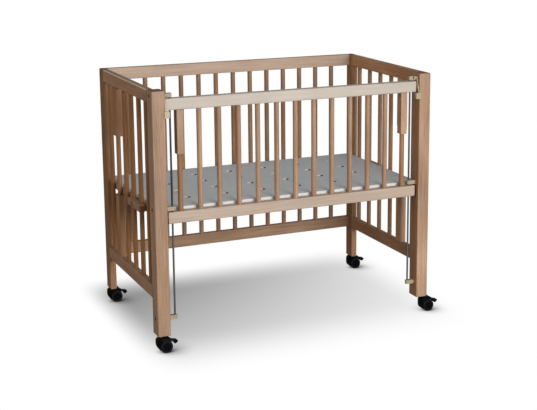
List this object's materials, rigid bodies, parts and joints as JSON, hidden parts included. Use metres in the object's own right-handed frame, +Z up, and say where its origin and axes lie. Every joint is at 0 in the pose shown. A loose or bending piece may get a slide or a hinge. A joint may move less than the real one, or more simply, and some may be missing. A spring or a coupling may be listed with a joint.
{
  "type": "bedside sleeper crib",
  "caption": "Beech bedside crib with a drop side sliding on steel rods, a height-adjustable ventilated base clamped between barred ends, and four braked swivel castors.",
  "frame": {"origin": "bottom centre of the crib's bounding box, on the floor", "axes": "+X along the length to the right end, +Y from the drop side to the back panel, +Z up"},
  "size_m": [1.0016, 0.5858, 0.816],
  "materials": {
    "beech": "satin lacquered beech",
    "white_board": "matt white laminated board",
    "rod_steel": "dark bright-drawn",
    "bolt_steel": "black",
    "zinc_steel": "zinc plated",
    "beige_plastic": "satin",
    "castor_black": "satin"
  },
  "bodies": {
    "frame": {"left_front_post": "beech", "left_back_post": "beech", "left_top_rail": "beech", "left_bottom_rail": "beech", "left_end_bars": "beech", "left_stop_bar": "beech", "left_guide_rod": "rod_steel", "left_rod_holders": "beige_plastic", "right_front_post": "beech", "right_back_post": "beech", "right_top_rail": "beech", "right_bottom_rail": "beech", "right_end_bars": "beech", "right_stop_bar": "beech", "right_guide_rod": "rod_steel", "right_rod_holders": "beige_plastic", "back_top_rail": "beech", "back_bottom_rail": "beech", "back_bars": "beech", "end_dowels": "beech", "back_panel_bolts": "bolt_steel", "rod_holder_bolts": "bolt_steel", "back_panel_barrel_nuts": "zinc_steel", "latch_pins": "zinc_steel", "castor_sockets": "zinc_steel"},
    "drop_side": {"drop_side_top_rail": "beech", "drop_side_bottom_rail": "beech", "drop_side_round_bars": "beech", "drop_side_square_bars": "beech"},
    "left_latch": {"left_latch": "beige_plastic"},
    "right_latch": {"right_latch": "beige_plastic"},
    "base": {"base_board": "white_board", "left_base_ledger": "beech", "right_base_ledger": "beech", "left_clamp_block": "beech", "right_clamp_block": "beech", "clamp_bolts": "bolt_steel", "clamp_washers": "zinc_steel", "clamp_nuts": "zinc_steel", "base_screws": "zinc_steel"},
    "castor_front_left_swivel": {"castor_front_left_hood": "castor_black", "castor_front_left_stem": "zinc_steel", "castor_front_left_axle": "zinc_steel"},
    "castor_front_left_wheel_pair": {"castor_front_left_wheels": "castor_black"},
    "castor_front_left_pedal": {"castor_front_left_brake_pedal": "castor_black"},
    "castor_front_right_swivel": {"castor_front_right_hood": "castor_black", "castor_front_right_stem": "zinc_steel", "castor_front_right_axle": "zinc_steel"},
    "castor_front_right_wheel_pair": {"castor_front_right_wheels": "castor_black"},
    "castor_front_right_pedal": {"castor_front_right_brake_pedal": "castor_black"},
    "castor_back_left_swivel": {"castor_back_left_hood": "castor_black", "castor_back_left_stem": "zinc_steel", "castor_back_left_axle": "zinc_steel"},
    "castor_back_left_wheel_pair": {"castor_back_left_wheels": "castor_black"},
    "castor_back_left_pedal": {"castor_back_left_brake_pedal": "castor_black"},
    "castor_back_right_swivel": {"castor_back_right_hood": "castor_black", "castor_back_right_stem": "zinc_steel", "castor_back_right_axle": "zinc_steel"},
    "castor_back_right_wheel_pair": {"castor_back_right_wheels": "castor_black"},
    "castor_back_right_pedal": {"castor_back_right_brake_pedal": "castor_black"}
  },
  "joints": [
    {"name": "drop_side_slide", "type": "slide", "parent": "frame", "child": "drop_side", "axis": [0, 0, -1], "range_m": [0, 0.2925]},
    {"name": "base_height", "type": "slide", "parent": "frame", "child": "base", "axis": [0, 0, 1], "range_m": [0, 0.1765]},
    {"name": "left_latch_pull", "type": "hinge", "parent": "frame", "child": "left_latch", "pos_m": [-0.4485, -0.2695, 0.801], "axis": [-1, 0, 0], "range_deg": [0, 18], "stiffness_Nm_per_rad": 0.15},
    {"name": "right_latch_pull", "type": "hinge", "parent": "frame", "child": "right_latch", "pos_m": [0.4149, -0.2695, 0.801], "axis": [-1, 0, 0], "range_deg": [0, 18], "stiffness_Nm_per_rad": 0.15},
    {"name": "castor_front_left_swivel_turn", "type": "hinge", "parent": "frame", "child": "castor_front_left_swivel", "pos_m": [-0.4813, -0.2745, 0.06], "axis": [0, 0, 1], "continuous": true},
    {"name": "castor_front_left_wheel_spin", "type": "hinge", "parent": "castor_front_left_swivel", "child": "castor_front_left_wheel_pair", "pos_m": [-0.4673, -0.2745, 0.02], "axis": [0, 1, 0], "continuous": true},
    {"name": "castor_front_left_pedal_press", "type": "hinge", "parent": "castor_front_left_swivel", "child": "castor_front_left_pedal", "pos_m": [-0.4693, -0.2745, 0.0462], "axis": [0, 1, 0], "range_deg": [0, 8]},
    {"name": "castor_front_right_swivel_turn", "type": "hinge", "parent": "frame", "child": "castor_front_right_swivel", "pos_m": [0.4477, -0.2745, 0.06], "axis": [0, 0, 1], "continuous": true},
    {"name": "castor_front_right_wheel_spin", "type": "hinge", "parent": "castor_front_right_swivel", "child": "castor_front_right_wheel_pair", "pos_m": [0.4617, -0.2745, 0.02], "axis": [0, 1, 0], "continuous": true},
    {"name": "castor_front_right_pedal_press", "type": "hinge", "parent": "castor_front_right_swivel", "child": "castor_front_right_pedal", "pos_m": [0.4597, -0.2745, 0.0462], "axis": [0, 1, 0], "range_deg": [0, 8]},
    {"name": "castor_back_left_swivel_turn", "type": "hinge", "parent": "frame", "child": "castor_back_left_swivel", "pos_m": [-0.4808, 0.2745, 0.06], "axis": [0, 0, 1], "continuous": true},
    {"name": "castor_back_left_wheel_spin", "type": "hinge", "parent": "castor_back_left_swivel", "child": "castor_back_left_wheel_pair", "pos_m": [-0.4668, 0.2745, 0.02], "axis": [0, 1, 0], "continuous": true},
    {"name": "castor_back_left_pedal_press", "type": "hinge", "parent": "castor_back_left_swivel", "child": "castor_back_left_pedal", "pos_m": [-0.4688, 0.2745, 0.0462], "axis": [0, 1, 0], "range_deg": [0, 8]},
    {"name": "castor_back_right_swivel_turn", "type": "hinge", "parent": "frame", "child": "castor_back_right_swivel", "pos_m": [0.4472, 0.2745, 0.06], "axis": [0, 0, 1], "continuous": true},
    {"name": "castor_back_right_wheel_spin", "type": "hinge", "parent": "castor_back_right_swivel", "child": "castor_back_right_wheel_pair", "pos_m": [0.4612, 0.2745, 0.02], "axis": [0, 1, 0], "continuous": true},
    {"name": "castor_back_right_pedal_press", "type": "hinge", "parent": "castor_back_right_swivel", "child": "castor_back_right_pedal", "pos_m": [0.4592, 0.2745, 0.0462], "axis": [0, 1, 0], "range_deg": [0, 8]}
  ]
}
